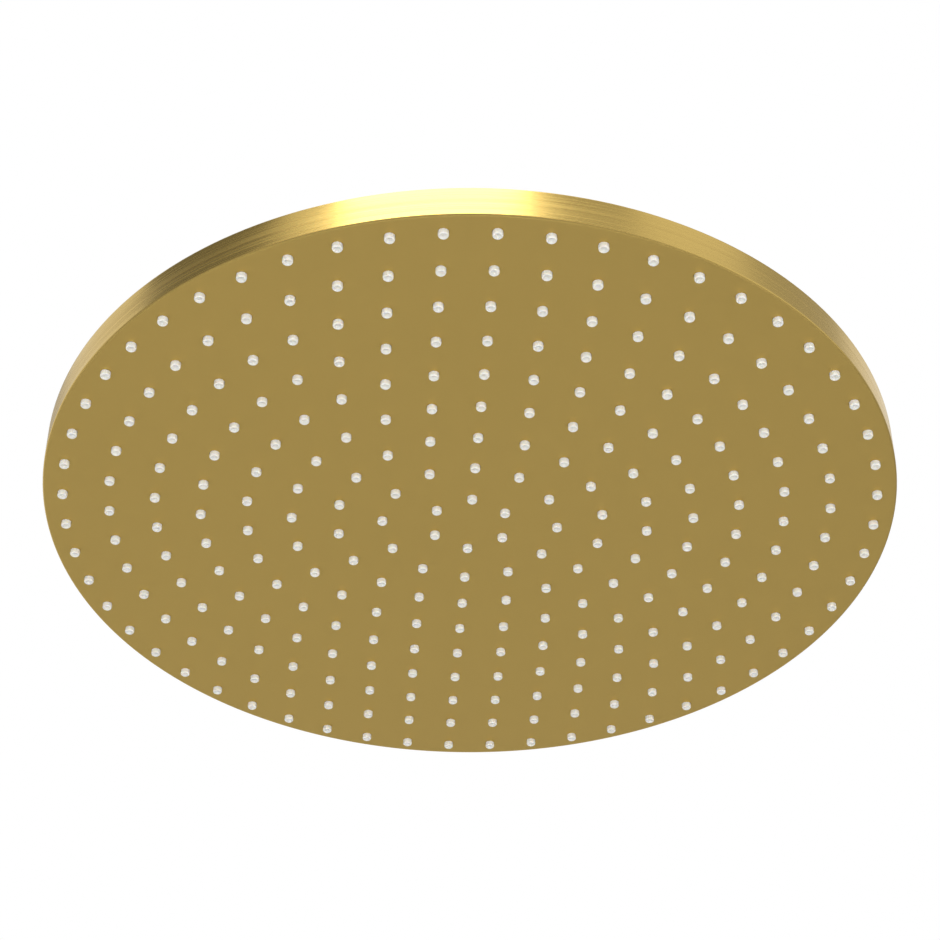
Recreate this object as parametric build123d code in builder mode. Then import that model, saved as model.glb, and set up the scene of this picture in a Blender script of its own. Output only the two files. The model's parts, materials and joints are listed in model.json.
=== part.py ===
"""Round rain shower head on a swivel ball, hanging from its inlet thread. Millimetres, +Z up.

The origin is on the axis of the inlet thread, where the thread starts. The head hangs below it, face down.
"""
from build123d import *
from math import cos, radians, sin, sqrt, tan
import os

# Spray face: the pan that shows from below
head_diameter = 300.0
head_thickness = 12.0
face_thickness = 1.5
wall_thickness = 1.5
face_edge_radius = 0.8
rim_edge_radius = 0.3

# Nozzles: rings of 6, 12, 18 ... about the axis, every other ring turned by half a step
outer_ring_margin = 7.0
ring_pitch = 16.0
inner_ring_radius = 13.9
nozzles_per_step = 6
nozzle_diameter = 3.5
nozzle_reach = 2.0
nozzle_clearance = 0.1

# Inside the pan
mat_thickness = 1.5
grid_thickness = 2.0
water_slot_width = 2.6
rib_count = 8
rib_thickness = 2.0
rib_inner_radius = 24.0
low_rib_height = 1.0
grid_wall_thickness = 3.0
gasket_thickness = 1.2
cover_thickness = 1.5
edge_clearance = 0.3

# Cover screws and the pillars that they go into
screw_count = 8
screw_diameter = 3.0
screw_clearance = 0.1
screw_grip = 6.0
screw_head_diameter = 5.5
screw_head_height = 1.8
screw_head_edge = 0.4
screw_socket_width = 2.0
screw_socket_depth = 1.0
standoff_diameter = 6.0
standoff_floor = 1.2
pillar_washer_thickness = 0.6

# Inlet: half-inch pipe thread in the skirt of the swivel ball
thread_minor_diameter = 18.63
thread_major_diameter = 20.955
thread_length = 10.0
mouth_chamfer = 1.0
relief_depth = 0.25
relief_height = 3.5
skirt_wall = 1.5
skirt_floor = 2.2
skirt_edge = 0.6
flat_wall = 0.9
flat_length = 8.0

# Swivel
tilt_limit = 15.0
swivel_gap = 0.3
passing_clearance = 0.5
ball_hold = 1.3
slip_wall = 1.4
slip_bottom_height = 2.5
lip_thickness = 1.8
lip_flare_angle = 20.0
collar_top_width = 2.4
collar_wall = 2.9
collar_edge = 0.6
collar_dome_height = 8.0
neck_gap = 0.4
swing_gap = 0.6
ball_outlet_diameter = 11.0
ball_end_land = 2.5

# Hub, ball seat and their seals
hub_bore_diameter = 16.0
hub_wall = 2.4
hub_thread_engagement = 8.0
thread_clearance = 0.2
seat_fit = 0.1
seat_height = 3.8
seat_seal_thickness = 1.7
hub_flange_diameter = 50.0
hub_flange_thickness = 3.5
hub_flange_edge = 1.0
hub_gasket_thickness = 0.8
tail_wall = 3.5
locknut_width = 32.0
locknut_height = 3.7
collar_foot_gap = 0.7

# Flow regulator, screen and washer in the inlet
regulator_diameter = 12.0
regulator_length = 8.0
regulator_flange_width = 1.3
regulator_flange_thickness = 1.2
regulator_wall = 1.2
regulator_floor = 1.5
regulator_post_diameter = 3.0
regulator_ring_width = 1.6
regulator_ring_thickness = 1.8
regulator_port_count = 6
regulator_port_diameter = 1.8
insert_clearance = 0.2
screen_inset = 0.1
screen_thickness = 0.5
screen_hole_diameter = 1.5
screen_hole_pitch = 2.1
screen_rings = 2
washer_thickness = 2.2
washer_bore_diameter = 12.4

# Radii that follow from the sizes above
head_radius = head_diameter / 2
pan_inner_radius = head_radius - wall_thickness
nozzle_radius = nozzle_diameter / 2
outer_ring_radius = head_radius - outer_ring_margin
ring_count = 1 + int((outer_ring_radius - inner_ring_radius) / ring_pitch)
pillar_ring_radius = outer_ring_radius - ring_pitch / 2
pillar_start_angle = 180 / screw_count
standoff_radius = standoff_diameter / 2
screw_hole_radius = screw_diameter / 2 + screw_clearance
thread_minor_radius = thread_minor_diameter / 2
relief_radius = thread_major_diameter / 2 + relief_depth
skirt_radius = relief_radius + skirt_wall
opening_radius = skirt_radius + passing_clearance
ball_radius = opening_radius + ball_hold
bearing_radius = ball_radius + swivel_gap
slip_outer_radius = bearing_radius + slip_wall
cavity_radius = slip_outer_radius + swivel_gap
cup_radius = bearing_radius
hub_thread_radius = cup_radius + hub_wall
collar_bore_radius = hub_thread_radius + thread_clearance
collar_radius = collar_bore_radius + collar_wall
hub_bore_radius = hub_bore_diameter / 2
tail_radius = hub_bore_radius + tail_wall
ball_outlet_radius = ball_outlet_diameter / 2
ball_end_radius = ball_outlet_radius + ball_end_land
regulator_radius = regulator_diameter / 2
regulator_flange_radius = regulator_radius + regulator_flange_width
screen_radius = regulator_flange_radius - screen_inset

# Heights above the ball's centre, worked out from the tilt
tilt = radians(tilt_limit)
lip_height = sqrt(cavity_radius**2 - opening_radius**2)
collar_top_height = lip_height + lip_thickness
flare_radius = opening_radius + lip_thickness * tan(radians(lip_flare_angle))
collar_top_radius = flare_radius + collar_top_width
neck_radius = opening_radius * cos(tilt) - lip_height * sin(tilt) - neck_gap
skirt_height = collar_top_height * cos(tilt) + collar_top_radius * sin(tilt) + swing_gap
slip_top_height = sqrt(bearing_radius**2 - opening_radius**2)
slip_foot_radius = sqrt(slip_outer_radius**2 - slip_bottom_height**2)
slip_lowest = slip_bottom_height * cos(tilt) - slip_foot_radius * sin(tilt)
hub_top_height = slip_lowest - swing_gap
cup_floor_height = -sqrt((bearing_radius + swivel_gap) ** 2 - hub_bore_radius**2)

# Levels, from the inlet down to the nozzle tips
mouth_z = mouth_chamfer
relief_z = -thread_length
washer_seat_z = relief_z - relief_height
skirt_bottom_z = washer_seat_z - skirt_floor
ball_z = skirt_bottom_z - skirt_height
hub_top_z = ball_z + hub_top_height
cup_floor_z = ball_z + cup_floor_height
seat_z = cup_floor_z + seat_seal_thickness
collar_bottom_z = hub_top_z - hub_thread_engagement
hub_flange_top_z = collar_bottom_z - collar_foot_gap
hub_flange_z = hub_flange_top_z - hub_flange_thickness
cover_top_z = hub_flange_z - hub_gasket_thickness
cover_z = cover_top_z - cover_thickness
face_z = cover_top_z - head_thickness
mat_z = face_z + face_thickness
grid_z = mat_z + mat_thickness
grid_top_z = grid_z + grid_thickness
gasket_z = cover_z - gasket_thickness
standoff_top_z = cover_z - pillar_washer_thickness
tail_z = cover_z - locknut_height

ring_radii = [inner_ring_radius]
for steps_in in reversed(range(ring_count - 1)):
    ring_radii.append(outer_ring_radius - ring_pitch * steps_in)


def nozzle_circles(radius):
    """Draws one circle for each nozzle in the sketch that is open."""
    for number, ring_radius in enumerate(ring_radii, start=1):
        count = nozzles_per_step * number
        half_step = 180 / count if number % 2 else 0
        with PolarLocations(ring_radius, count, start_angle=half_step):
            Circle(radius)


def sphere_radius_at(radius, height):
    """The radius of a ball's circle at a height above its centre."""
    return sqrt(radius**2 - height**2)


# Face pan: flat face and side wall in one piece, with a hole for each nozzle
with BuildPart() as face_pan:
    with BuildSketch(Plane.XZ):
        with BuildLine():
            Polyline(
                (0, face_z),
                (head_radius, face_z),
                (head_radius, cover_top_z),
                (pan_inner_radius, cover_top_z),
                (pan_inner_radius, mat_z),
                (0, mat_z),
                close=True,
            )
        make_face()
    revolve(axis=Axis.Z)
    pan_edges = face_pan.edges().filter_by(GeomType.CIRCLE).group_by(Axis.Z)
    fillet(pan_edges[0], face_edge_radius)
    fillet(pan_edges[-1].sort_by(SortBy.RADIUS)[-1], rim_edge_radius)
    with BuildSketch(Plane.XY.offset(face_z)):
        nozzle_circles(nozzle_radius + nozzle_clearance)
    extrude(amount=face_thickness, mode=Mode.SUBTRACT)

# Nozzle mat: one silicone moulding, a sheet with every nozzle standing down from it
with BuildPart() as nozzle_mat:
    with BuildSketch(Plane.XY.offset(mat_z)):
        Circle(pan_inner_radius - edge_clearance)
        with PolarLocations(pillar_ring_radius, screw_count, start_angle=pillar_start_angle):
            Circle(standoff_radius + edge_clearance, mode=Mode.SUBTRACT)
    extrude(amount=mat_thickness)
    with BuildSketch(Plane.XY.offset(mat_z)):
        nozzle_circles(nozzle_radius)
    extrude(amount=-(face_thickness + nozzle_reach))

# Standoffs: threaded pillars on the inside of the face
with BuildPart() as standoffs:
    with BuildSketch(Plane.XY.offset(mat_z)):
        with PolarLocations(pillar_ring_radius, screw_count, start_angle=pillar_start_angle):
            Circle(standoff_radius)
    extrude(amount=standoff_top_z - mat_z)
    with BuildSketch(Plane.XY.offset(mat_z + standoff_floor)):
        with PolarLocations(pillar_ring_radius, screw_count, start_angle=pillar_start_angle):
            Circle(screw_hole_radius)
    extrude(amount=standoff_top_z - mat_z - standoff_floor, mode=Mode.SUBTRACT)

# Pillar washers: each seals the cover on top of a standoff
with BuildPart() as pillar_washers:
    with BuildSketch(Plane.XY.offset(standoff_top_z)):
        with PolarLocations(pillar_ring_radius, screw_count, start_angle=pillar_start_angle):
            Circle(standoff_radius)
            Circle(screw_hole_radius, mode=Mode.SUBTRACT)
    extrude(amount=pillar_washer_thickness)

# Grid rib: low across the middle, under the locknut, then up to the cover, and tied into the outer wall
grid_radius = pan_inner_radius - edge_clearance
grid_wall_radius = grid_radius - grid_wall_thickness
with BuildPart() as grid_rib:
    low_rib_z = grid_top_z + low_rib_height
    rib_foot_radius = inner_ring_radius / 2
    rib_end_radius = grid_wall_radius - edge_clearance
    rib_tie_radius = grid_wall_radius + grid_wall_thickness / 2
    with BuildSketch(Plane.XZ):
        with BuildLine():
            Polyline(
                (rib_foot_radius, grid_top_z),
                (rib_tie_radius, grid_top_z),
                (rib_tie_radius, gasket_z),
                (rib_end_radius, gasket_z),
                (rib_end_radius, cover_z),
                (rib_inner_radius, cover_z),
                (rib_inner_radius, low_rib_z),
                (rib_foot_radius, low_rib_z),
                close=True,
            )
        make_face()
    extrude(amount=rib_thickness / 2, both=True)

# Backing grid: rings that press on the mat between the nozzles, an outer wall and the ribs that tie them
with BuildPart() as backing_grid:
    with BuildSketch(Plane.XY.offset(grid_z)):
        Circle(grid_radius)
        for ring_radius in reversed(ring_radii):
            Circle(ring_radius + water_slot_width / 2, mode=Mode.SUBTRACT)
            Circle(ring_radius - water_slot_width / 2)
        with PolarLocations(pillar_ring_radius, screw_count, start_angle=pillar_start_angle):
            Circle(standoff_radius + edge_clearance, mode=Mode.SUBTRACT)
    extrude(amount=grid_thickness)
    with BuildSketch(Plane.XY.offset(grid_top_z)):
        Circle(grid_radius)
        Circle(grid_wall_radius, mode=Mode.SUBTRACT)
    extrude(amount=gasket_z - grid_top_z)
    with PolarLocations(0, rib_count):
        add(grid_rib.part)

# Rim gasket: seals the cover on the grid's outer wall
with BuildPart() as rim_gasket:
    with BuildSketch(Plane.XY.offset(gasket_z)):
        Circle(grid_radius)
        Circle(grid_wall_radius, mode=Mode.SUBTRACT)
    extrude(amount=gasket_thickness)

# Back cover: flat disc inside the top of the pan's wall
with BuildPart() as back_cover:
    with BuildSketch(Plane.XY.offset(cover_z)):
        Circle(pan_inner_radius - edge_clearance)
        Circle(tail_radius + thread_clearance, mode=Mode.SUBTRACT)
        with PolarLocations(pillar_ring_radius, screw_count, start_angle=pillar_start_angle):
            Circle(screw_hole_radius, mode=Mode.SUBTRACT)
    extrude(amount=cover_thickness)
    cover_rim = back_cover.edges().filter_by(GeomType.CIRCLE).sort_by(SortBy.RADIUS)[-2:]
    chamfer(cover_rim.sort_by(Axis.Z)[-1], rim_edge_radius)

# Cover screws: socket heads on the cover, shanks down into the standoffs
with BuildPart() as cover_screws:
    with BuildSketch(Plane.XY.offset(cover_top_z)):
        with PolarLocations(pillar_ring_radius, screw_count, start_angle=pillar_start_angle):
            Circle(screw_head_diameter / 2)
    extrude(amount=screw_head_height)
    fillet(cover_screws.edges().group_by(Axis.Z)[-1], screw_head_edge)
    with BuildSketch(Plane.XY.offset(cover_top_z)):
        with PolarLocations(pillar_ring_radius, screw_count, start_angle=pillar_start_angle):
            Circle(screw_diameter / 2)
    extrude(amount=-(cover_thickness + pillar_washer_thickness + screw_grip))
    with BuildSketch(Plane.XY.offset(cover_top_z + screw_head_height)):
        with PolarLocations(pillar_ring_radius, screw_count, start_angle=pillar_start_angle):
            RegularPolygon(screw_socket_width / 2, 6, major_radius=False)
    extrude(amount=-screw_socket_depth, mode=Mode.SUBTRACT)

# Hub: flange on the cover, cup for the ball above it and a threaded tail through the cover
with BuildPart() as hub:
    with BuildSketch(Plane.XZ):
        with BuildLine():
            Polyline(
                (hub_bore_radius, tail_z),
                (tail_radius, tail_z),
                (tail_radius, hub_flange_z),
                (hub_flange_diameter / 2, hub_flange_z),
                (hub_flange_diameter / 2, hub_flange_top_z),
                (hub_thread_radius, hub_flange_top_z),
                (hub_thread_radius, hub_top_z),
                (cup_radius, hub_top_z),
                (cup_radius, cup_floor_z),
                (hub_bore_radius, cup_floor_z),
                close=True,
            )
        make_face()
    revolve(axis=Axis.Z)
    flange_edges = hub.edges().filter_by(GeomType.CIRCLE).sort_by(SortBy.RADIUS)[-2:]
    fillet(flange_edges.sort_by(Axis.Z)[-1], hub_flange_edge)

# Hub gasket: flat ring between the flange and the cover
with BuildPart() as hub_gasket:
    with BuildSketch(Plane.XY.offset(cover_top_z)):
        Circle(hub_flange_diameter / 2 - hub_flange_edge)
        Circle(tail_radius + thread_clearance, mode=Mode.SUBTRACT)
    extrude(amount=hub_gasket_thickness)

# Hub locknut: holds the tail from inside the head
with BuildPart() as hub_locknut:
    with BuildSketch(Plane.XY.offset(tail_z)):
        RegularPolygon(locknut_width / 2, 6, major_radius=False)
        Circle(tail_radius + thread_clearance, mode=Mode.SUBTRACT)
    extrude(amount=locknut_height)

# Seat seal: rubber ring on the floor of the cup
seat_foot_radius = sphere_radius_at(bearing_radius, seat_z - ball_z)
with BuildPart() as seat_seal:
    with BuildSketch(Plane.XY.offset(cup_floor_z)):
        Circle(cup_radius - seat_fit)
        Circle(seat_foot_radius + swivel_gap, mode=Mode.SUBTRACT)
    extrude(amount=seat_seal_thickness)

# Ball seat: ring with a hollow face that follows the ball from below
with BuildPart() as ball_seat:
    seat_top_z = seat_z + seat_height
    seat_top_radius = sphere_radius_at(bearing_radius, seat_top_z - ball_z)
    with BuildSketch(Plane.XZ):
        with BuildLine():
            Polyline(
                (seat_foot_radius, seat_z),
                (cup_radius - seat_fit, seat_z),
                (cup_radius - seat_fit, seat_top_z),
                (seat_top_radius, seat_top_z),
            )
            RadiusArc((seat_top_radius, seat_top_z), (seat_foot_radius, seat_z), bearing_radius)
        make_face()
    revolve(axis=Axis.Z)

# Swivel ball: ball, neck and inlet skirt turned in one piece, with flats for a spanner
with BuildPart() as swivel_ball:
    neck_foot_z = ball_z + sphere_radius_at(ball_radius, neck_radius)
    ball_end_z = ball_z - sphere_radius_at(ball_radius, ball_end_radius)
    regulator_seat_z = washer_seat_z - regulator_flange_thickness
    regulator_bore_z = washer_seat_z - regulator_length
    with BuildSketch(Plane.XZ):
        with BuildLine():
            Polyline(
                (ball_end_radius, ball_end_z),
                (ball_outlet_radius, ball_end_z),
                (ball_outlet_radius, regulator_bore_z),
                (regulator_radius + insert_clearance, regulator_bore_z),
                (regulator_radius + insert_clearance, regulator_seat_z),
                (regulator_flange_radius + insert_clearance, regulator_seat_z),
                (regulator_flange_radius + insert_clearance, washer_seat_z),
                (relief_radius, washer_seat_z),
                (relief_radius, relief_z),
                (thread_minor_radius, relief_z),
                (thread_minor_radius, 0),
                (thread_minor_radius + mouth_chamfer, mouth_z),
                (skirt_radius - skirt_edge, mouth_z),
                (skirt_radius, mouth_z - skirt_edge),
                (skirt_radius, skirt_bottom_z + skirt_edge),
                (skirt_radius - skirt_edge, skirt_bottom_z),
                (neck_radius, skirt_bottom_z),
                (neck_radius, neck_foot_z),
            )
            ThreePointArc((neck_radius, neck_foot_z), (ball_radius, ball_z), (ball_end_radius, ball_end_z))
        make_face()
    revolve(axis=Axis.Z)
    with BuildSketch(Plane.XY.offset(mouth_z)):
        Rectangle(2 * skirt_radius, 2 * skirt_radius)
        Rectangle(2 * (relief_radius + flat_wall), 2 * skirt_radius, mode=Mode.SUBTRACT)
    extrude(amount=-flat_length, mode=Mode.SUBTRACT)

# Slip ring: thin ball-shaped ring over the ball, under the collar
with BuildPart() as slip_ring:
    slip_bottom_z = ball_z + slip_bottom_height
    slip_top_z = ball_z + slip_top_height
    inner_foot = (sphere_radius_at(bearing_radius, slip_bottom_height), slip_bottom_z)
    outer_foot = (slip_foot_radius, slip_bottom_z)
    outer_head = (sphere_radius_at(slip_outer_radius, slip_top_height), slip_top_z)
    inner_head = (opening_radius, slip_top_z)
    with BuildSketch(Plane.XZ):
        with BuildLine():
            Line(inner_foot, outer_foot)
            RadiusArc(outer_foot, outer_head, -slip_outer_radius)
            Line(outer_head, inner_head)
            RadiusArc(inner_head, inner_foot, bearing_radius)
        make_face()
    revolve(axis=Axis.Z)

# Collar nut: screws on the hub, and its lip holds the slip ring down on the ball
with BuildPart() as collar_nut:
    collar_top_z = ball_z + collar_top_height
    lip_z = ball_z + lip_height
    dome_z = collar_top_z - collar_dome_height
    collar_shoulder_z = ball_z + slip_lowest / 2
    with BuildSketch(Plane.XZ):
        with BuildLine():
            Polyline(
                (cavity_radius, ball_z),
                (cavity_radius, collar_shoulder_z),
                (collar_bore_radius, collar_shoulder_z),
                (collar_bore_radius, collar_bottom_z),
                (collar_radius - collar_edge, collar_bottom_z),
                (collar_radius, collar_bottom_z + collar_edge),
                (collar_radius, dome_z),
            )
            TangentArc((collar_radius, dome_z), (collar_top_radius, collar_top_z), tangent=(0, 1))
            Polyline(
                (collar_top_radius, collar_top_z),
                (flare_radius, collar_top_z),
                (opening_radius, lip_z),
            )
            RadiusArc((opening_radius, lip_z), (cavity_radius, ball_z), cavity_radius)
        make_face()
    revolve(axis=Axis.Z)

# Regulator body: flanged cup with a post in the middle and ports through its floor
with BuildPart() as regulator_body:
    regulator_bottom_z = regulator_bore_z + insert_clearance
    regulator_floor_z = regulator_bottom_z + regulator_floor
    post_radius = regulator_post_diameter / 2
    cup_inner_radius = regulator_radius - regulator_wall
    port_ring_radius = (post_radius + cup_inner_radius) / 2
    with BuildSketch(Plane.XZ):
        with BuildLine():
            Polyline(
                (0, regulator_bottom_z),
                (regulator_radius, regulator_bottom_z),
                (regulator_radius, regulator_seat_z),
                (regulator_flange_radius, regulator_seat_z),
                (regulator_flange_radius, washer_seat_z),
                (cup_inner_radius, washer_seat_z),
                (cup_inner_radius, regulator_floor_z),
                (post_radius, regulator_floor_z),
                (post_radius, regulator_seat_z),
                (0, regulator_seat_z),
                close=True,
            )
        make_face()
    revolve(axis=Axis.Z)
    with BuildSketch(Plane.XY.offset(regulator_bottom_z)):
        with PolarLocations(port_ring_radius, regulator_port_count):
            Circle(regulator_port_diameter / 2)
    extrude(amount=regulator_floor, mode=Mode.SUBTRACT)

# Regulator ring: rubber ring round the post
with BuildPart() as regulator_ring:
    ring_inner_radius = post_radius + insert_clearance
    with BuildSketch(Plane.XY.offset(regulator_floor_z)):
        Circle(ring_inner_radius + regulator_ring_width)
        Circle(ring_inner_radius, mode=Mode.SUBTRACT)
    extrude(amount=regulator_ring_thickness)

# Filter screen: perforated disc on the regulator, under the washer
with BuildPart() as filter_screen:
    with BuildSketch(Plane.XY.offset(washer_seat_z)):
        Circle(screen_radius)
        Circle(screen_hole_diameter / 2, mode=Mode.SUBTRACT)
        for number in range(1, screen_rings + 1):
            with PolarLocations(number * screen_hole_pitch, 6 * number):
                Circle(screen_hole_diameter / 2, mode=Mode.SUBTRACT)
    extrude(amount=screen_thickness)

# Inlet washer: soft ring that the pipe closes on, recessed below for the screen
with BuildPart() as inlet_washer:
    with BuildSketch(Plane.XY.offset(washer_seat_z)):
        Circle(thread_minor_radius - insert_clearance)
        Circle(washer_bore_diameter / 2, mode=Mode.SUBTRACT)
    extrude(amount=washer_thickness)
    with BuildSketch(Plane.XY.offset(washer_seat_z)):
        Circle(screen_radius + insert_clearance)
    extrude(amount=screen_thickness, mode=Mode.SUBTRACT)

pieces = {
    "face_pan": face_pan,
    "nozzle_mat": nozzle_mat,
    "standoffs": standoffs,
    "pillar_washers": pillar_washers,
    "backing_grid": backing_grid,
    "rim_gasket": rim_gasket,
    "back_cover": back_cover,
    "cover_screws": cover_screws,
    "hub": hub,
    "hub_gasket": hub_gasket,
    "hub_locknut": hub_locknut,
    "seat_seal": seat_seal,
    "ball_seat": ball_seat,
    "swivel_ball": swivel_ball,
    "slip_ring": slip_ring,
    "collar_nut": collar_nut,
    "regulator_body": regulator_body,
    "regulator_ring": regulator_ring,
    "filter_screen": filter_screen,
    "inlet_washer": inlet_washer,
}

os.makedirs("parts", exist_ok=True)
for name, piece in pieces.items():
    piece.part.label = name
    export_step(piece.part, f"parts/{name}.step")
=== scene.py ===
# %% [markdown]
# # A round rain shower head in brushed gold
# The head hangs from a half-inch inlet on a swivel ball. From below it is one gold pan with 270 silicone
# nozzles through it. From above it shows its cover, the screws and the turned swivel.
# The CAD solids are already in place, so this lesson adds what they leave plain: the moulded nozzle
# tips, the thread in the inlet, the grip on the collar nut, and the finish of every piece.

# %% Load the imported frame
import json
import math

import bmesh
import bpy
import numpy as np
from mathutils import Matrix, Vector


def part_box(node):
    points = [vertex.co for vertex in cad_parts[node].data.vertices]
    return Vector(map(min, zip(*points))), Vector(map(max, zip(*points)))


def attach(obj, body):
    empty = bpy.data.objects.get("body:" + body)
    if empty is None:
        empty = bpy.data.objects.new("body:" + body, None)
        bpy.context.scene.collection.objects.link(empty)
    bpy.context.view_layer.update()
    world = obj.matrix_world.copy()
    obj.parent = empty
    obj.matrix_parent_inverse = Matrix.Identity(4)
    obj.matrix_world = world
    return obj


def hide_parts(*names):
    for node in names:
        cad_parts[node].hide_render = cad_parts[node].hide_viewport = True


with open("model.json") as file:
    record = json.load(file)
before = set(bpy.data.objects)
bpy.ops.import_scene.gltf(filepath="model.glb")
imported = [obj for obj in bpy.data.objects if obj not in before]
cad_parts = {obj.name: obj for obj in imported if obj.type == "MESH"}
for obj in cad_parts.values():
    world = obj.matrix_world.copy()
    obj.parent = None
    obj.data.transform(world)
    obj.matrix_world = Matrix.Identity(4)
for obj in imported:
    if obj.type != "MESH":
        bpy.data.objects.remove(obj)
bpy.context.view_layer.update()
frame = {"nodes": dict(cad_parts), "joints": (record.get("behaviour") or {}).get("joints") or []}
nodes = frame["nodes"]
MM = 0.001

# %% [markdown]
# ## Camera
# The picture looks up at the face from in front and below. Its lens and place were worked out from the
# outline and the nozzle rings, so they are typed in as numbers. Turning the camera a few degrees about
# the head's axis is the same as turning the head, and it leaves the CAD frame alone. The shift, a share
# of the picture's width, takes up the last fifth of a pixel.

# %% Camera
LENS_MM = 86.48
SENSOR_MM = 36.0
SHIFT_SHARE = 0.0002
PITCH_UP_DEG = 39.838
AZIMUTH_DEG = -3.43
CAMERA_BELOW_FACE_MM = 498.5
CAMERA_IN_FRONT_MM = 626.7

face_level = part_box("face_pan")[0].z
azimuth = math.radians(AZIMUTH_DEG)
camera_data = bpy.data.cameras.new("photo_camera")
camera_data.lens = LENS_MM
camera_data.sensor_width = SENSOR_MM
camera_data.shift_x = SHIFT_SHARE
camera = bpy.data.objects.new("photo_camera", camera_data)
camera.location = (
    CAMERA_IN_FRONT_MM * MM * math.sin(azimuth),
    -CAMERA_IN_FRONT_MM * MM * math.cos(azimuth),
    face_level - CAMERA_BELOW_FACE_MM * MM,
)
camera.rotation_euler = (math.radians(90 + PITCH_UP_DEG), 0, azimuth)
bpy.context.scene.collection.objects.link(camera)
bpy.context.scene.camera = camera
print("camera at mm:", [round(value / MM, 1) for value in camera.location])

# %% [markdown]
# ## Colour and nodes
# Colours are easiest to read as the hex values of a paint program, but shaders count in linear light.
# One function turns the first into the second. A second small function adds a node, fills it in and
# links it, so that each material below reads as a list of what its surface does.

# %% Colour and node helpers
def linear(hex_colour):
    """Linear RGBA of an sRGB hex colour: each channel goes through the inverse of the sRGB curve."""
    srgb = np.array([int(hex_colour[i : i + 2], 16) for i in (1, 3, 5)]) / 255
    light = np.where(srgb <= 0.04045, srgb / 12.92, ((srgb + 0.055) / 1.055) ** 2.4)
    return (*light.tolist(), 1.0)


def add_node(tree, kind, settings=None, links=None):
    """Adds a node: settings fill its sockets or properties by name, links join sockets to its inputs."""
    node = tree.nodes.new(kind)
    for key, value in (settings or {}).items():
        if isinstance(key, int) or key in node.inputs:
            node.inputs[key].default_value = value
        else:
            setattr(node, key, value)
    for key, socket in (links or {}).items():
        tree.links.new(socket, node.inputs[key])
    return node


def new_material(name, settings):
    """A material with one Principled shader, whose sockets take the settings that are the same all over."""
    material = bpy.data.materials.new(name)
    material.use_nodes = True
    for key, value in settings.items():
        material.node_tree.nodes["Principled BSDF"].inputs[key].default_value = value
    return material, material.node_tree


print("mid grey #808080 in linear light:", round(linear("#808080")[0], 3))

# %% [markdown]
# ## World and floor
# The head hangs in front of plain white. The world is white for the camera and for reflections, and
# dimmer for the light that falls on matt surfaces, so that white doesn't wash them out. The floor is
# pale grey and far enough down for the camera to go under the head. The gold face mirrors it.

# %% World and floor
SKY_LIGHT = 0.75
FLOOR_BELOW_MM = 1200.0
FLOOR_SIDE_MM = 40000.0
UPRIGHT = 0.99  # a card that faces up or down more than this takes its level from Y

bpy.context.scene.view_settings.view_transform = "Standard"
world = bpy.data.worlds.new("white_room")
world.use_nodes = True
bpy.context.scene.world = world
sky_tree = world.node_tree
sky = sky_tree.nodes["Background"]
sky.inputs["Color"].default_value = (1, 1, 1, 1)
ray = add_node(sky_tree, "ShaderNodeLightPath").outputs
seen = ray["Is Camera Ray"]
for kind in ("Is Glossy Ray", "Is Transmission Ray"):
    either = add_node(sky_tree, "ShaderNodeMath", {"operation": "MAXIMUM"}, {0: seen, 1: ray[kind]})
    seen = either.outputs["Value"]
strength = add_node(sky_tree, "ShaderNodeMapRange", {"To Min": SKY_LIGHT, "To Max": 1.0}, {"Value": seen})
sky_tree.links.new(strength.outputs["Result"], sky.inputs["Strength"])


def stage_card(name, centre_mm, aim_mm, width_mm, height_mm, material):
    """A flat card round a centre, square to the line to its aim: centre ± half its width and height."""
    centre, aim = np.array(centre_mm), np.array(aim_mm)
    facing = (aim - centre) / np.linalg.norm(aim - centre)
    level = np.cross((0, 1, 0) if abs(facing[2]) > UPRIGHT else (0, 0, 1), facing)
    level = level / np.linalg.norm(level)
    rising = np.cross(facing, level)
    corners = np.array([[-1, -1], [1, -1], [1, 1], [-1, 1]]) / 2
    points = centre + corners[:, :1] * width_mm * level + corners[:, 1:] * height_mm * rising
    mesh = bpy.data.meshes.new(name)
    mesh.from_pydata((points * MM).tolist(), [], [(0, 1, 2, 3)])
    mesh.materials.append(material)
    card = bpy.data.objects.new(name, mesh)
    bpy.context.scene.collection.objects.link(card)
    return card


floor_paint, _ = new_material("matt_pale_floor", {"Base Color": linear("#e6e6e4"), "Roughness": 0.9})
stage_card("floor", (0, 0, -FLOOR_BELOW_MM), (0, 0, 0), FLOOR_SIDE_MM, FLOOR_SIDE_MM, floor_paint)
print("floor level in mm:", -FLOOR_BELOW_MM)

# %% [markdown]
# ## Studio light
# Brushed metal shows the room more than the lamp. One large softbox above the camera makes the bright
# part of the rim, and dark and grey flags beside it make the parts that give the rim its shape, as
# photographers do. Grey walls stand round the head at its own height, and the small radius under the rim
# mirrors them as a thin dark line. A wide fill in front lifts the white nozzles, and is left out of the
# mirror images in the gold. All are even, glowing cards that the camera itself doesn't see. Their backs
# glow like the sky behind them, so that they leave no patch of shade or light on the floor.

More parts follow.
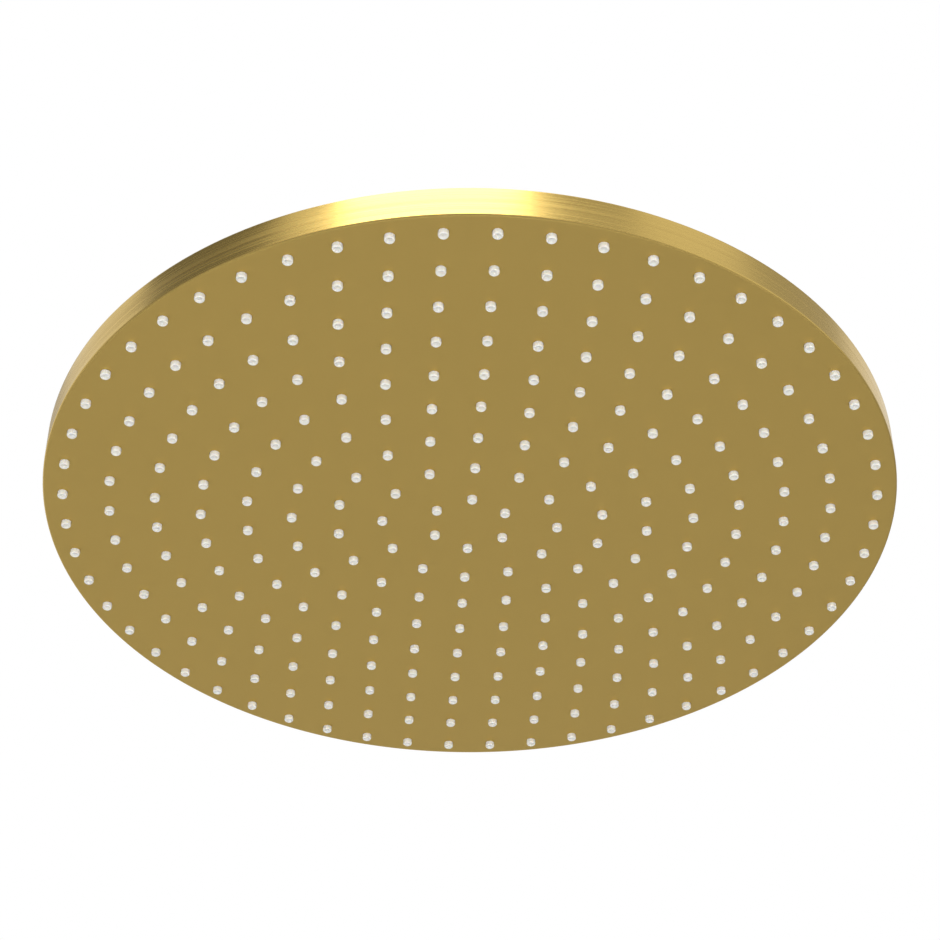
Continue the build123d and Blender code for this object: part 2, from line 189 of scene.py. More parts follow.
# %% Studio light
CARDS = {
    # name: centre in mm, width, height, glow
    "softbox": ((-210, -934, 888), 823, 700, 4.8),
    "dark_flag": ((-928, -270, 861), 753, 700, 0.23),
    "light_flag": ((478, -904, 885), 402, 700, 0.60),
    "grey_flag": ((974, 2, 842), 677, 700, 0.52),
    "back_left_flag": ((-324, 859, 779), 855, 700, 0.50),
    "back_right_flag": ((305, 921, 769), 553, 700, 0.48),
    "front_wall": ((0, -2600, 0), 4700, 1900, 0.55),
    "left_wall": ((-2443, -889, 90), 2750, 2580, 0.48),
    "right_wall": ((2076, 1565, 90), 3200, 2580, 0.45),
    "nozzle_fill": ((0, -1350, -750), 3000, 900, 2.35),
}
HEAD_MM = (0, 0, -50)
for name, (centre, width, height, glow) in CARDS.items():
    material = bpy.data.materials.new(name)
    material.use_nodes = True
    tree = material.node_tree
    tree.nodes.clear()
    behind = add_node(tree, "ShaderNodeNewGeometry").outputs["Backfacing"]
    front_and_back = {"To Min": glow, "To Max": SKY_LIGHT}
    strength = add_node(tree, "ShaderNodeMapRange", front_and_back, {"Value": behind})
    light = add_node(tree, "ShaderNodeEmission", {}, {"Strength": strength.outputs["Result"]})
    add_node(tree, "ShaderNodeOutputMaterial", {}, {"Surface": light.outputs["Emission"]})
    card = stage_card(name, centre, HEAD_MM, width, height, material)
    card.visible_camera = False
    card.visible_glossy = name != "nozzle_fill"
print("cards:", list(CARDS))

# %% [markdown]
# ## Brushed gold on the pan
# The pan is stainless steel, brushed and then coated gold in a vacuum chamber. Its face is satin, without
# a direction. Its wall was brushed while it turned, so fine scratches run round it. Image scratches would
# repeat, so a noise that is long in X and Y and short in Z is used: on a cylinder it makes streaks that
# follow the rim and close on themselves. The real scratches and the grit of the face are finer than a
# pixel, so they are drawn 0.7 mm and 0.45 mm wide. The distance from the axis tells face and wall apart.

# %% Brushed gold on the pan
GOLD = "#d0b266"
GOLD_DEEP = "#c6a95f"
GOLD_EDGE = "#fdfaf2"
GOLD_METAL = {"Metallic": 1.0, "Specular Tint": linear(GOLD_EDGE)}
FACE_ENDS_MM, WALL_STARTS_MM = 149.2, 149.8
WALL_STREAK_MM, WALL_STREAK_LENGTH_MM = 0.7, 500.0
WALL_BRUSHING = {"Scale": 1.0, "Detail": 2.0, "Roughness": 0.6}
WALL_CONTRAST = {"From Min": 0.36, "From Max": 0.64}
WALL_TONE = {"To Min": 0.35, "To Max": 0.65}
WALL_ROUGH = {"To Min": 0.20, "To Max": 0.33}
WALL_DEPTH_MM = 0.006
FACE_GRIT_MM, FACE_PATCH_MM, FACE_DETAIL = 0.45, 60.0, 2.0
FACE_TONE = {"To Min": 0.40, "To Max": 0.60}
FACE_ROUGH = {"To Min": 0.42, "To Max": 0.50}
FACE_RELIEF = 0.1  # share of the wall's depth


def axis_distance(tree, place):
    """How far a point is from the head's axis: the length of its x and y."""
    in_plan = add_node(tree, "ShaderNodeMapping", {"Scale": (1, 1, 0)}, {"Vector": place})
    length = add_node(tree, "ShaderNodeVectorMath", {"operation": "LENGTH"}, {0: in_plan.outputs["Vector"]})
    return length.outputs["Value"]


def join_finish(tree, colour, rough, height, depth_mm):
    """Joins colour, roughness and relief to the material's shader: the relief is height times depth."""
    shader = tree.nodes["Principled BSDF"]
    relief = {"Strength": 1.0, "Distance": depth_mm * MM}
    bump = add_node(tree, "ShaderNodeBump", relief, {"Height": height})
    tree.links.new(colour, shader.inputs["Base Color"])
    tree.links.new(rough, shader.inputs["Roughness"])
    tree.links.new(bump.outputs["Normal"], shader.inputs["Normal"])


# Gives the eye a satin face of even colour, and a wall with bright and dark streaks along the rim.
pan_gold, tree = new_material("brushed_gold_coated_steel", GOLD_METAL)
place = add_node(tree, "ShaderNodeTexCoord").outputs["Object"]
edge = {"interpolation_type": "SMOOTHSTEP", "From Min": FACE_ENDS_MM * MM, "From Max": WALL_STARTS_MM * MM}
reach = axis_distance(tree, place)
on_wall = add_node(tree, "ShaderNodeMapRange", edge, {"Value": reach}).outputs["Result"]

streak_sides = (WALL_STREAK_LENGTH_MM, WALL_STREAK_LENGTH_MM, WALL_STREAK_MM)
streak_scale = [1 / (side * MM) for side in streak_sides]
along_rim = add_node(tree, "ShaderNodeMapping", {"Scale": streak_scale}, {"Vector": place})
brushing = add_node(tree, "ShaderNodeTexNoise", WALL_BRUSHING, {"Vector": along_rim.outputs["Vector"]})
streaks = brushing.outputs["Fac"]
scratch = add_node(tree, "ShaderNodeMapRange", WALL_CONTRAST, {"Value": streaks}).outputs["Result"]
wall_tone = add_node(tree, "ShaderNodeMapRange", WALL_TONE, {"Value": scratch}).outputs["Result"]
wall_rough = add_node(tree, "ShaderNodeMapRange", WALL_ROUGH, {"Value": scratch}).outputs["Result"]

sand = {"Scale": 1 / (FACE_GRIT_MM * MM), "Detail": FACE_DETAIL}
grit = add_node(tree, "ShaderNodeTexNoise", sand, {"Vector": place}).outputs["Fac"]
clouds = {"Scale": 1 / (FACE_PATCH_MM * MM), "Detail": FACE_DETAIL}
patches = add_node(tree, "ShaderNodeTexNoise", clouds, {"Vector": place}).outputs["Fac"]
face_tone = add_node(tree, "ShaderNodeMapRange", FACE_TONE, {"Value": patches}).outputs["Result"]
face_rough = add_node(tree, "ShaderNodeMapRange", FACE_ROUGH, {"Value": grit}).outputs["Result"]
lower = {"operation": "MULTIPLY", 1: FACE_RELIEF}
face_height = add_node(tree, "ShaderNodeMath", lower, {0: grit}).outputs["Value"]

tone = add_node(tree, "ShaderNodeMix", {}, {0: on_wall, 2: face_tone, 3: wall_tone}).outputs["Result"]
rough = add_node(tree, "ShaderNodeMix", {}, {0: on_wall, 2: face_rough, 3: wall_rough}).outputs["Result"]
height = add_node(tree, "ShaderNodeMix", {}, {0: on_wall, 2: face_height, 3: streaks}).outputs["Result"]
golds = {"data_type": "RGBA", 6: linear(GOLD), 7: linear(GOLD_DEEP)}
colour = add_node(tree, "ShaderNodeMix", golds, {0: tone}).outputs[2]
join_finish(tree, colour, rough, height, WALL_DEPTH_MM)
print("pan:", pan_gold.name, "with", len(tree.nodes), "nodes")

# %% [markdown]
# ## Brushed gold on the cover
# The cover is a flat disc of the same coated steel. It was brushed as a sheet before it was cut, so its
# scratches are straight and all run one way. The same noise does this when it is long in X only. Here one
# pattern drives colour, gloss and relief together, because a scratch changes all three.

# %% Brushed gold on the cover
SHEET_STREAK_MM, SHEET_STREAK_LENGTH_MM = 0.4, 50.0
SHEET_BRUSHING = {"Scale": 1.0, "Detail": 4.0, "Roughness": 0.65}
SHEET_ROUGH = (0.22, 0.42)
SHEET_DEPTH_MM = 0.012


def patterned_finish(tree, pattern, light_hex, dark_hex, rough, depth_mm):
    """A finish that follows one pattern: at 0 it is light, smooth and low, at 1 dark, rough and high."""
    colours = {"data_type": "RGBA", 6: linear(light_hex), 7: linear(dark_hex)}
    colour = add_node(tree, "ShaderNodeMix", colours, {0: pattern})
    smooth_to_rough = {"To Min": rough[0], "To Max": rough[1]}
    gloss = add_node(tree, "ShaderNodeMapRange", smooth_to_rough, {"Value": pattern})
    join_finish(tree, colour.outputs[2], gloss.outputs["Result"], pattern, depth_mm)


# Gives the eye a broad soft shine, drawn out across the scratches.
cover_gold, tree = new_material("straight_brushed_gold_steel", GOLD_METAL)
place = add_node(tree, "ShaderNodeTexCoord").outputs["Object"]
sheet_scale = [1 / (side * MM) for side in (SHEET_STREAK_LENGTH_MM, SHEET_STREAK_MM, SHEET_STREAK_MM)]
along_sheet = add_node(tree, "ShaderNodeMapping", {"Scale": sheet_scale}, {"Vector": place})
scratches = add_node(tree, "ShaderNodeTexNoise", SHEET_BRUSHING, {"Vector": along_sheet.outputs["Vector"]})
patterned_finish(tree, scratches.outputs["Fac"], GOLD, GOLD_DEEP, SHEET_ROUGH, SHEET_DEPTH_MM)
nodes["back_cover"].data.materials[0] = cover_gold
print("cover:", cover_gold.name)

# %% [markdown]
# ## Turned gold on the swivel
# Hub, collar and ball are brass, turned on a lathe and coated like the pan. The tool leaves rings, which
# depend only on the distance from the axis and the height. Feeding those two numbers to the noise gives
# rings on flat ends and round bands on cylinders at once.

# %% Turned gold on the swivel
TOOL_MARK_MM, TOOL_DETAIL = 0.35, 3.0
TOOL_ROUGH = (0.16, 0.32)
TOOL_DEPTH_MM = 0.01

# Gives the eye sharper highlights than the sheet metal, broken by fine rings.
turned_gold, tree = new_material("turned_gold_coated_brass", GOLD_METAL)
place = add_node(tree, "ShaderNodeTexCoord").outputs["Object"]
level = add_node(tree, "ShaderNodeSeparateXYZ", {}, {"Vector": place}).outputs["Z"]
ring_place = add_node(tree, "ShaderNodeCombineXYZ", {}, {"X": axis_distance(tree, place), "Y": level})
tool_marks = {"Scale": 1 / (TOOL_MARK_MM * MM), "Detail": TOOL_DETAIL}
rings = add_node(tree, "ShaderNodeTexNoise", tool_marks, {"Vector": ring_place.outputs["Vector"]})
patterned_finish(tree, rings.outputs["Fac"], GOLD, GOLD_DEEP, TOOL_ROUGH, TOOL_DEPTH_MM)
print("turned parts:", turned_gold.name)

# %% [markdown]
# ## Plain materials
# The other pieces sit inside the head or are small. Each still has the surface of its own material: a
# moulded skin on plastics and rubber, and tool marks or rolled grain on bare metal. They differ only in
# colour, gloss and the size and depth of that texture, so one table and one loop make them all.

# %% Plain materials
PLAIN = {
    # name: light colour, dark colour, range of roughness, metallic, grain in mm, depth in mm
    # Silicone: milky and soft, with a faint moulded skin. It gives the nozzles their pale, waxy look.
    "moulded_silicone": ("#f3f1eb", "#efede6", (0.16, 0.24), 0.0, 0.35, 0.002),
    # ABS: white and half matt, with the fine sparks of the mould.
    "moulded_white_abs": ("#dcdad3", "#d2d0c8", (0.42, 0.52), 0.0, 0.5, 0.008),
    # Acetal: slippery and denser white, slightly shiny.
    "machined_acetal": ("#eeece6", "#e4e2da", (0.28, 0.38), 0.0, 0.6, 0.003),
    # Dyed acetal: the colour tells the flow of the regulator.
    "moulded_green_acetal": ("#5f8f76", "#57856d", (0.32, 0.42), 0.0, 0.5, 0.005),
    # EPDM rubber: black and dull.
    "moulded_black_rubber": ("#232325", "#1b1b1d", (0.62, 0.76), 0.0, 0.4, 0.01),
    # Stainless steel: grey with a soft shine.
    "bare_stainless_steel": ("#c8c7c3", "#b9b8b4", (0.24, 0.38), 1.0, 0.3, 0.006),
    # Brass: yellower and duller than the coating.
    "bare_turned_brass": ("#d2b069", "#c3a05a", (0.30, 0.42), 1.0, 0.3, 0.006),
}
PLAIN_DETAIL = 3.0
# Light goes half a millimetre into silicone, red the farthest, which softens the nozzles' shading.
SILICONE_DEPTH = {
    "Subsurface Weight": 0.7,
    "Subsurface Radius": (1.0, 0.9, 0.75),
    "Subsurface Scale": 0.5 * MM,
}

plain = {}
for name, (light_hex, dark_hex, rough, metallic, grain_mm, depth_mm) in PLAIN.items():
    plain[name], tree = new_material(name, {"Metallic": metallic})
    place = add_node(tree, "ShaderNodeTexCoord").outputs["Object"]
    skin = {"Scale": 1 / (grain_mm * MM), "Detail": PLAIN_DETAIL}
    grain = add_node(tree, "ShaderNodeTexNoise", skin, {"Vector": place}).outputs["Fac"]
    patterned_finish(tree, grain, light_hex, dark_hex, rough, depth_mm)
silicone = plain["moulded_silicone"]
for key, value in SILICONE_DEPTH.items():
    silicone.node_tree.nodes["Principled BSDF"].inputs[key].default_value = value

NODE_FINISH = {
    "backing_grid": "moulded_white_abs",
    "ball_seat": "machined_acetal",
    "slip_ring": "machined_acetal",
    "regulator_body": "moulded_green_acetal",
    "rim_gasket": "moulded_black_rubber",
    "hub_gasket": "moulded_black_rubber",
    "seat_seal": "moulded_black_rubber",
    "pillar_washers": "moulded_black_rubber",
    "regulator_ring": "moulded_black_rubber",
    "inlet_washer": "moulded_black_rubber",
    "standoffs": "bare_stainless_steel",
    "cover_screws": "bare_stainless_steel",
    "filter_screen": "bare_stainless_steel",
    "hub_locknut": "bare_turned_brass",
}
for node_name, finish in NODE_FINISH.items():
    nodes[node_name].data.materials[0] = plain[finish]
print("plain materials:", len(plain), "on", len(NODE_FINISH), "nodes")

# %% [markdown]
# ## Surfaces from numbers
# Most of this object is turned, so most of its surfaces are a profile carried round an axis. The profile
# gives the rows of a grid, the angle gives its columns, and four neighbours make a face. Written with
# whole arrays, one line moves every point. Profiles run up the outside and down the inside, which makes
# all faces point outwards.

# %% Surface helpers
def circle(columns):
    """Unit circle: (cos, sin) of evenly spaced angles."""
    angles = 2 * np.pi * np.arange(columns) / columns
    return np.stack([np.cos(angles), np.sin(angles)], axis=-1)


def ring_faces(rows, columns, closed=True):
    """Quads of a grid that closes round its columns, and over its rows if closed: four neighbours each."""
    index = np.arange(rows * columns).reshape(rows, columns)
    if closed:
        index = np.vstack([index, index[:1]])
    ahead = np.roll(index, -1, axis=1)
    return np.stack([index[:-1], ahead[:-1], ahead[1:], index[1:]], axis=-1).reshape(-1, 4)


def turned_points(radii, heights, columns):
    """Points of a turned shape: x, y = radius (cos, sin) of the column's angle, z = the row's height."""
    radii = np.broadcast_to(np.asarray(radii, float).reshape(len(heights), -1), (len(heights), columns))
    heights = np.broadcast_to(np.asarray(heights, float)[:, None], radii.shape)
    return np.concatenate([radii[..., None] * circle(columns), heights[..., None]], axis=-1).reshape(-1, 3)


def arc(centre, radius, start_deg, end_deg, steps):
    """Profile points on an arc: centre + radius (cos, sin) of angles evenly spaced from start to end."""
    angles = np.radians(np.linspace(start_deg, end_deg, steps + 1))
    return np.stack([centre[0] + radius * np.cos(angles), centre[1] + radius * np.sin(angles)], axis=-1)


print("quads in a band of 2 rows and 8 columns:", len(ring_faces(2, 8, closed=False)))

# %% [markdown]
# ## From surfaces to pieces
# A piece can have several surfaces, which meet in doubled points. Their lists are joined first, and
# merging the doubles in the mesh then closes seams and poles. Each piece hides the CAD node it
# replaces, hangs from an empty for the body it rides on, and has its material in its one slot.

# %% Piece helpers
MERGE_MM = 0.001


def copies(points, faces, centres):
    """The same points and faces at each centre in plan: points + centre, faces moved on by whole sets."""
    offsets = np.column_stack([centres, np.zeros(len(centres))])
    moved = faces + len(points) * np.arange(len(centres))[:, None, None]
    return (points + offsets[:, None]).reshape(-1, 3), moved.reshape(-1, faces.shape[-1])


def joined(parts):
    """One list of points and one of faces from several, with each part's faces moved past those before."""
    starts = np.cumsum([0] + [len(points) for points, faces in parts[:-1]])
    points = np.concatenate([points for points, faces in parts])
    faces = [face for start, (_, corners) in zip(starts, parts) for face in (corners + start).tolist()]
    return points, faces


def add_piece(name, points_mm, faces, material, body, node, crease_deg=30):
    """A piece from points and faces, with doubles merged, and corners past the crease angle left sharp."""
    mesh = bpy.data.meshes.new(name)
    mesh.from_pydata((points_mm * MM).tolist(), [], faces)
    shape = bmesh.new()
    shape.from_mesh(mesh)
    bmesh.ops.remove_doubles(shape, verts=shape.verts, dist=MERGE_MM * MM)
    shape.to_mesh(mesh)
    shape.free()
    mesh.shade_smooth()
    mesh.set_sharp_from_angle(angle=math.radians(crease_deg))
    mesh.materials.append(material)
    piece = bpy.data.objects.new(name, mesh)
    bpy.context.scene.collection.objects.link(piece)
    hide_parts(node)
    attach(piece, body)
    sides = [round(side / MM, 2) for side in piece.dimensions]
    print(name, "has", len(mesh.polygons), "faces, box in mm:", sides)


print("points closer than this are merged, in mm:", MERGE_MM)

# %% [markdown]
# ## Discs with holes
# The pan's face and the silicone mat are flat and full of round holes. A grid can't follow 270 holes, so
# here the rim and the holes are only rings of points, and Delaunay triangulation fills the plane between
# them. The triangles that fall inside a hole are dropped.

# %% Discs with holes
from mathutils.geometry import delaunay_2d_cdt

SAME_POINT_MM = 1e-6
ANY_TRIANGLES = 0  # the triangulation also fills the holes


def pierced_disc(radius, columns, centres, hole_radius, hole_columns, level, facing_up):
    """Flat triangles between a rim circle and the circles round each hole's centre, at one level."""
    holes = centres[:, None] + hole_radius * circle(hole_columns)
    points = np.concatenate([radius * circle(columns), holes.reshape(-1, 2)])
    rim = ring_faces(2, columns, closed=False)[:, :2]
    hole_index = columns + np.arange(len(holes) * hole_columns).reshape(len(holes), hole_columns)
    hole_edges = np.stack([hole_index, np.roll(hole_index, -1, axis=1)], axis=-1).reshape(-1, 2)
    edges = np.concatenate([rim, hole_edges])
    filled = delaunay_2d_cdt(points.tolist(), edges.tolist(), [], ANY_TRIANGLES, SAME_POINT_MM)
    flat = np.array([tuple(point) for point in filled[0]])
    triangles = np.array(filled[2])
    middles = flat[triangles].mean(axis=1)
    nearest = np.linalg.norm(middles[:, None] - centres, axis=-1).min(axis=1)
    triangles = triangles[nearest > hole_radius * np.cos(np.pi / hole_columns)]
    points = np.column_stack([flat, np.full(len(flat), level)])
    return points, triangles if facing_up else triangles[:, ::-1]


def hole_walls(centres, hole_radius, hole_columns, low, high):
    """The insides of the holes: each hole's circle at the high level joined to the one at the low level."""
    wall = turned_points([hole_radius, hole_radius], [high, low], hole_columns)
    return copies(wall, ring_faces(2, hole_columns, closed=False), centres)


one_hole = pierced_disc(10, 12, np.zeros((1, 2)), 3, 12, 0, True)
print("triangles of a disc with one hole:", len(one_hole[1]))

# %% [markdown]
# ## The pan
# The pan is drawn from one sheet: face, small radius and wall without a seam. On shiny metal a small
# radius needs exact normals, which a loose CAD mesh doesn't give. So the pan is made again here:
# its wall and radii as a turned profile, its face and its inside as pierced discs. A narrow flat beside
# each radius keeps the shading of the large faces even.

# %% The pan
INNER_RING_MM, OUTER_RING_MM = 13.9, 143.0
RING_PITCH_MM = 16.0
RINGS = 9
NOZZLES_PER_STEP = 6
NOZZLE_HOLE_MM = 1.85
NOZZLE_SIDES = 12
WALL_RADIUS_MM = 149.98  # a hair inside the solids' box
SHEET_MM = 1.5
FACE_EDGE_MM, FACE_FLAT_MM = 0.8, 1.0
RIM_EDGE_MM, RIM_FLAT_MM = 0.12, 0.5  # crisper than in CAD, so that the edge doesn't mirror the sky
RIM_COLUMNS = 240

evenly_spaced = [OUTER_RING_MM - RING_PITCH_MM * step for step in range(RINGS - 2, -1, -1)]
nozzle_places = []
for number, radius in enumerate([INNER_RING_MM] + evenly_spaced, start=1):
    count = NOZZLES_PER_STEP * number
    half_step = 0.5 if number % 2 else 0.0
    angles = 2 * np.pi * (np.arange(count) + half_step) / count
    nozzle_places.append(radius * np.stack([np.cos(angles), np.sin(angles)], axis=-1))
nozzle_places = np.concatenate(nozzle_places)

face_mm = face_level / MM
pan_top_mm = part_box("face_pan")[1].z / MM
inside_mm = face_mm + SHEET_MM
flat_radius = WALL_RADIUS_MM - FACE_FLAT_MM
inside_radius = WALL_RADIUS_MM - SHEET_MM
pan_profile = np.concatenate([
    [(flat_radius, face_mm)],
    arc((WALL_RADIUS_MM - FACE_EDGE_MM, face_mm + FACE_EDGE_MM), FACE_EDGE_MM, -90, 0, steps=8),
    [(WALL_RADIUS_MM, face_mm + FACE_FLAT_MM), (WALL_RADIUS_MM, pan_top_mm - RIM_FLAT_MM)],
    arc((WALL_RADIUS_MM - RIM_EDGE_MM, pan_top_mm - RIM_EDGE_MM), RIM_EDGE_MM, 0, 90, steps=4),
    [(inside_radius, pan_top_mm), (inside_radius, inside_mm)],
])
pan_wall = turned_points(pan_profile[:, 0], pan_profile[:, 1], RIM_COLUMNS)
points, faces = joined([
    (pan_wall, ring_faces(len(pan_profile), RIM_COLUMNS, closed=False)),
    pierced_disc(flat_radius, RIM_COLUMNS, nozzle_places, NOZZLE_HOLE_MM, NOZZLE_SIDES, face_mm, False),
    pierced_disc(inside_radius, RIM_COLUMNS, nozzle_places, NOZZLE_HOLE_MM, NOZZLE_SIDES, inside_mm, True),
    hole_walls(nozzle_places, NOZZLE_HOLE_MM, NOZZLE_SIDES, face_mm, inside_mm),
])
add_piece("gold_pan", points, faces, pan_gold, "head", "face_pan")

# %% [markdown]
# ## The silicone nozzles
# Mat and nozzles are one soft moulding. Each nozzle has a straight side, a rounded lip and a shallow
# hollow in its end, which catches the light from below. One nozzle is a turned profile of seven bands.
# Adding the list of 270 places to it makes all of them in one step.

# %% The silicone nozzles
NOZZLE_PROFILE_MM = np.array([
    # radius and height above the face, from the middle of the hollow over the lip to the root
    (0.0, -1.3), (0.85, -1.4), (1.25, -1.78), (1.5, -1.74),
    (1.7, -1.5), (1.75, -1.2), (1.75, 2.2), (0.0, 2.2),
])
MAT_RADIUS_MM, MAT_MM = 148.2, 1.5
MAT_COLUMNS = 180
PILLARS = 8
PILLAR_RING_MM = 135.0
PILLAR_HOLE_MM = 3.3
PILLAR_SIDES = 24
PILLAR_START_DEG = 22.5
LIP_CREASE_DEG = 60  # the lip is shaded round

nozzle = turned_points(NOZZLE_PROFILE_MM[:, 0], NOZZLE_PROFILE_MM[:, 1] + face_mm, NOZZLE_SIDES)
nozzle_faces = ring_faces(len(NOZZLE_PROFILE_MM), NOZZLE_SIDES, closed=False)
pillar_angles = np.radians(PILLAR_START_DEG + 360 / PILLARS * np.arange(PILLARS))
pillar_places = PILLAR_RING_MM * np.stack([np.cos(pillar_angles), np.sin(pillar_angles)], axis=-1)
mat_low, mat_high = inside_mm, inside_mm + MAT_MM
mat_rim = turned_points([MAT_RADIUS_MM] * 2, [mat_low, mat_high], MAT_COLUMNS)
points, faces = joined([
    copies(nozzle, nozzle_faces, nozzle_places),
    (mat_rim, ring_faces(2, MAT_COLUMNS, closed=False)),
    pierced_disc(MAT_RADIUS_MM, MAT_COLUMNS, pillar_places, PILLAR_HOLE_MM, PILLAR_SIDES, mat_low, False),
    pierced_disc(MAT_RADIUS_MM, MAT_COLUMNS, pillar_places, PILLAR_HOLE_MM, PILLAR_SIDES, mat_high, True),
    hole_walls(pillar_places, PILLAR_HOLE_MM, PILLAR_SIDES, mat_low, mat_high),
])
add_piece(
    "silicone_nozzles", points, faces, silicone, "head", "nozzle_mat", LIP_CREASE_DEG
)
print("nozzles:", len(nozzle_places))

# %% [markdown]
# ## The inlet and its thread
# Ball, neck and inlet are turned from one bar. Inside the inlet is a half-inch pipe thread, which CAD
# leaves as a plain bore. Its rounded form is very close to a cosine, so the radius is a cosine of the
# height, and taking the angle off its phase winds it into a helix. Two flats for a spanner are made by
# limiting how far a point may be in X.

# %% The inlet and its thread
INCH_MM = 25.4
PITCH_MM = INCH_MM / 14
MINOR_MM, MAJOR_MM = 9.315, 10.4775
MOUTH_MM, THREAD_END_MM = 1.0, -10.0
BALL_MM, BALL_END_MM, NECK_MM = 14.0275, 8.0, 9.3726
SKIRT_MM, SKIRT_EDGE_MM, SKIRT_FOOT_MM = 12.2275, 0.6, -15.7
FLAT_MM, FLAT_FOOT_MM = 11.6275, -7.0
RELIEF_MM, RELIEF_END_MM = 10.7275, -13.5
REGULATOR_SEAT_MM, REGULATOR_SEAT_END_MM = 7.5, -14.7
REGULATOR_MM, REGULATOR_END_MM = 6.2, -21.5
OUTLET_MM = 5.5
SWIVEL_COLUMNS = 100
THREAD_ROWS = 73
LEAST_COSINE = 0.1  # away from the flats, where their reach has no end

ball_mm = frame["joints"][0]["pos_m"][2] / MM
end_angle, neck_angle = math.acos(BALL_END_MM / BALL_MM), math.acos(NECK_MM / BALL_MM)
outside = np.concatenate([
    arc((0, ball_mm), BALL_MM, -math.degrees(end_angle), math.degrees(neck_angle), steps=30),
    [(NECK_MM, SKIRT_FOOT_MM), (SKIRT_MM - SKIRT_EDGE_MM, SKIRT_FOOT_MM)],
    [(SKIRT_MM, SKIRT_FOOT_MM + SKIRT_EDGE_MM), (SKIRT_MM, FLAT_FOOT_MM)],
])
flat_sided = np.array([
    (SKIRT_MM, FLAT_FOOT_MM), (SKIRT_MM, MOUTH_MM - SKIRT_EDGE_MM), (SKIRT_MM - SKIRT_EDGE_MM, MOUTH_MM),
])
thread_heights = np.linspace(MOUTH_MM, THREAD_END_MM, THREAD_ROWS)
water_way = np.array([
    (RELIEF_MM, THREAD_END_MM), (RELIEF_MM, RELIEF_END_MM),
    (REGULATOR_SEAT_MM, RELIEF_END_MM), (REGULATOR_SEAT_MM, REGULATOR_SEAT_END_MM),
    (REGULATOR_MM, REGULATOR_SEAT_END_MM), (REGULATOR_MM, REGULATOR_END_MM),
    (OUTLET_MM, REGULATOR_END_MM), (OUTLET_MM, ball_mm - BALL_MM * math.sin(end_angle)),
])
turn = np.arange(SWIVEL_COLUMNS) / SWIVEL_COLUMNS
phase = thread_heights[:, None] / PITCH_MM - turn
thread_radii = MINOR_MM + (MAJOR_MM - MINOR_MM) * (0.5 - 0.5 * np.cos(2 * np.pi * phase))
mouth_cone = MINOR_MM + thread_heights[:, None]  # leads in at 45 degrees, above height 0
round_rows = np.ones(SWIVEL_COLUMNS)
flat_reach = FLAT_MM / np.maximum(np.abs(np.cos(2 * np.pi * turn)), LEAST_COSINE)
radii = np.concatenate([
    outside[:, :1] * round_rows,
    np.minimum(flat_sided[:, :1] * round_rows, flat_reach),
    np.maximum(thread_radii, mouth_cone),
    water_way[:, :1] * round_rows,
])
heights = np.concatenate([outside[:, 1], flat_sided[:, 1], thread_heights, water_way[:, 1]])
points = turned_points(radii, heights, SWIVEL_COLUMNS)
faces = ring_faces(len(heights), SWIVEL_COLUMNS).tolist()
add_piece("swivel_and_inlet", points, faces, turned_gold, "connector", "swivel_ball")
print("thread turns:", round(-THREAD_END_MM / PITCH_MM, 1))

# %% [markdown]
# ## The collar nut
# The collar is tightened by hand, so its side has fine flutes for grip, like the edge of a coin. They are
# a cosine round the axis, cut inwards, and a smooth step in height fades them out above and below.

# %% The collar nut
COLLAR_MM, COLLAR_EDGE_MM, COLLAR_FOOT_MM = 19.8275, 0.6, -41.737
FLUTES = 60
FLUTE_DEPTH_MM, FLUTE_FADE_MM = 0.5, 1.2
FLUTES_FROM_MM, FLUTES_TO_MM = -40.6, -29.2
FADE_ROWS = 7
DOME_CENTRE_MM, DOME_MM, DOME_DEG = (9.894, -27.992), 9.9335, 53.65
LIP_TOP_MM, LIP_FOOT_MM = (13.3826, -19.992), (12.7275, -21.792)
CAVITY_MM, CAVITY_DEG = 16.0275, 37.43
COLLAR_BORE_MM, COLLAR_BORE_TOP_MM = 16.9275, -32.335
COLUMNS_PER_FLUTE = 8
COLLAR_COLUMNS = FLUTES * COLUMNS_PER_FLUTE

band_heights = np.concatenate([
    np.linspace(FLUTES_FROM_MM, FLUTES_FROM_MM + FLUTE_FADE_MM, FADE_ROWS),
    np.linspace(FLUTES_TO_MM - FLUTE_FADE_MM, FLUTES_TO_MM, FADE_ROWS),
])
fade_in = np.clip((band_heights - FLUTES_FROM_MM) / FLUTE_FADE_MM, 0, 1)
fade_out = np.clip((FLUTES_TO_MM - band_heights) / FLUTE_FADE_MM, 0, 1)
rise = fade_in * fade_out
window = rise * rise * (3 - 2 * rise)
around = 2 * np.pi * np.arange(COLLAR_COLUMNS) / COLLAR_COLUMNS
band_radii = COLLAR_MM - FLUTE_DEPTH_MM * window[:, None] * (0.5 - 0.5 * np.cos(FLUTES * around))
below = np.array([
    (COLLAR_MM - COLLAR_EDGE_MM, COLLAR_FOOT_MM), (COLLAR_MM, COLLAR_FOOT_MM + COLLAR_EDGE_MM),
])
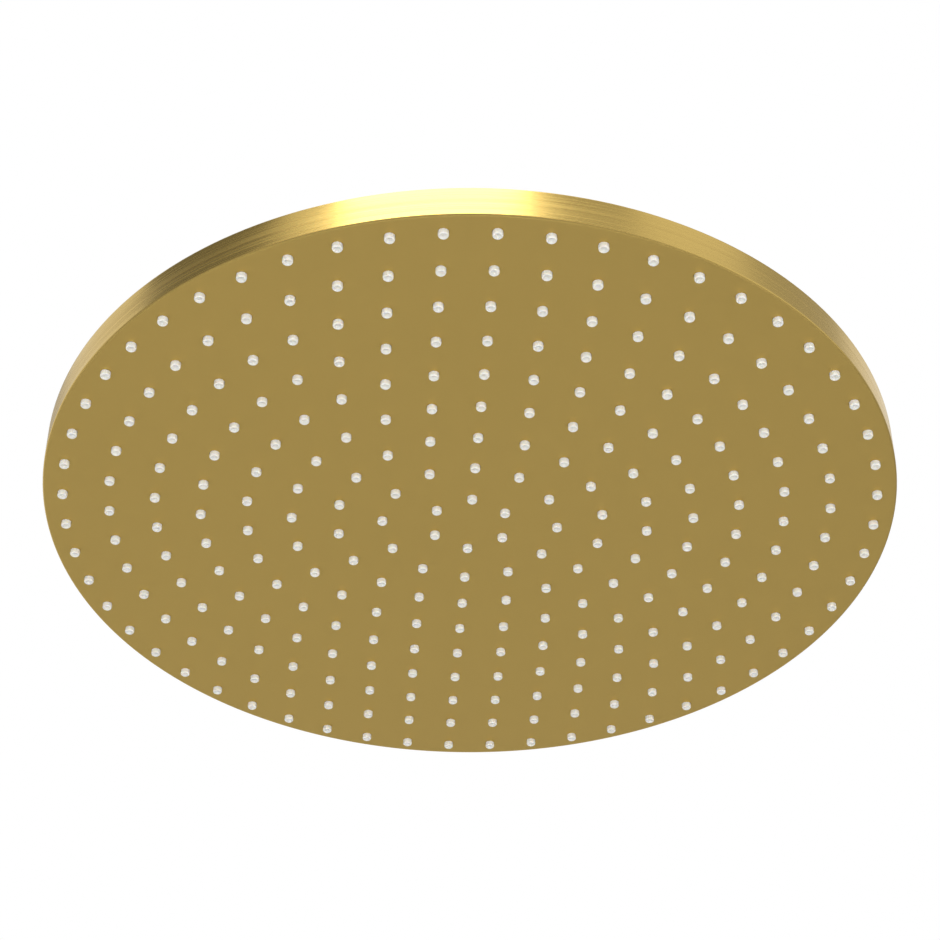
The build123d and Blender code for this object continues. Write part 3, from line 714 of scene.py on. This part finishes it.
above = np.concatenate([
    arc(DOME_CENTRE_MM, DOME_MM, 0, DOME_DEG, steps=16),
    [LIP_TOP_MM, LIP_FOOT_MM],
    arc((0, ball_mm), CAVITY_MM, CAVITY_DEG, 0, steps=12),
    [(CAVITY_MM, COLLAR_BORE_TOP_MM), (COLLAR_BORE_MM, COLLAR_BORE_TOP_MM)],
    [(COLLAR_BORE_MM, COLLAR_FOOT_MM)],
])
full_turn = np.ones(COLLAR_COLUMNS)
radii = np.concatenate([below[:, :1] * full_turn, band_radii, above[:, :1] * full_turn])
heights = np.concatenate([below[:, 1], band_heights, above[:, 1]])
points = turned_points(radii, heights, COLLAR_COLUMNS)
faces = ring_faces(len(heights), COLLAR_COLUMNS).tolist()
add_piece("fluted_collar", points, faces, turned_gold, "head", "collar_nut")

# %% [markdown]
# ## The hub
# The hub's flange lies on the cover, and its cup holds the ball. It is turned, so one profile is enough,
# with an arc for the rounded edge of the flange.

# %% The hub
HUB_BORE_MM, HUB_FLOOR_MM = 8.0, -43.779
TAIL_MM, TAIL_END_MM = 11.5, -51.937
FLANGE_MM, FLANGE_EDGE_MM, FLANGE_FLAT_MM = 25.0, 1.0, 1.3
FLANGE_FOOT_MM, FLANGE_TOP_MM = -45.937, -42.437
CUP_MM, CUP_BORE_MM, CUP_TOP_MM = 16.7275, 14.3275, -33.737
HUB_COLUMNS = 120

hub_profile = np.concatenate([
    [(HUB_BORE_MM, TAIL_END_MM), (TAIL_MM, TAIL_END_MM)],
    [(TAIL_MM, FLANGE_FOOT_MM), (FLANGE_MM, FLANGE_FOOT_MM)],
    arc((FLANGE_MM - FLANGE_EDGE_MM, FLANGE_TOP_MM - FLANGE_EDGE_MM), FLANGE_EDGE_MM, 0, 90, steps=8),
    [(FLANGE_MM - FLANGE_FLAT_MM, FLANGE_TOP_MM), (CUP_MM, FLANGE_TOP_MM), (CUP_MM, CUP_TOP_MM)],
    [(CUP_BORE_MM, CUP_TOP_MM), (CUP_BORE_MM, HUB_FLOOR_MM), (HUB_BORE_MM, HUB_FLOOR_MM)],
])
points = turned_points(hub_profile[:, 0], hub_profile[:, 1], HUB_COLUMNS)
faces = ring_faces(len(hub_profile), HUB_COLUMNS).tolist()
add_piece("turned_hub", points, faces, turned_gold, "head", "hub")
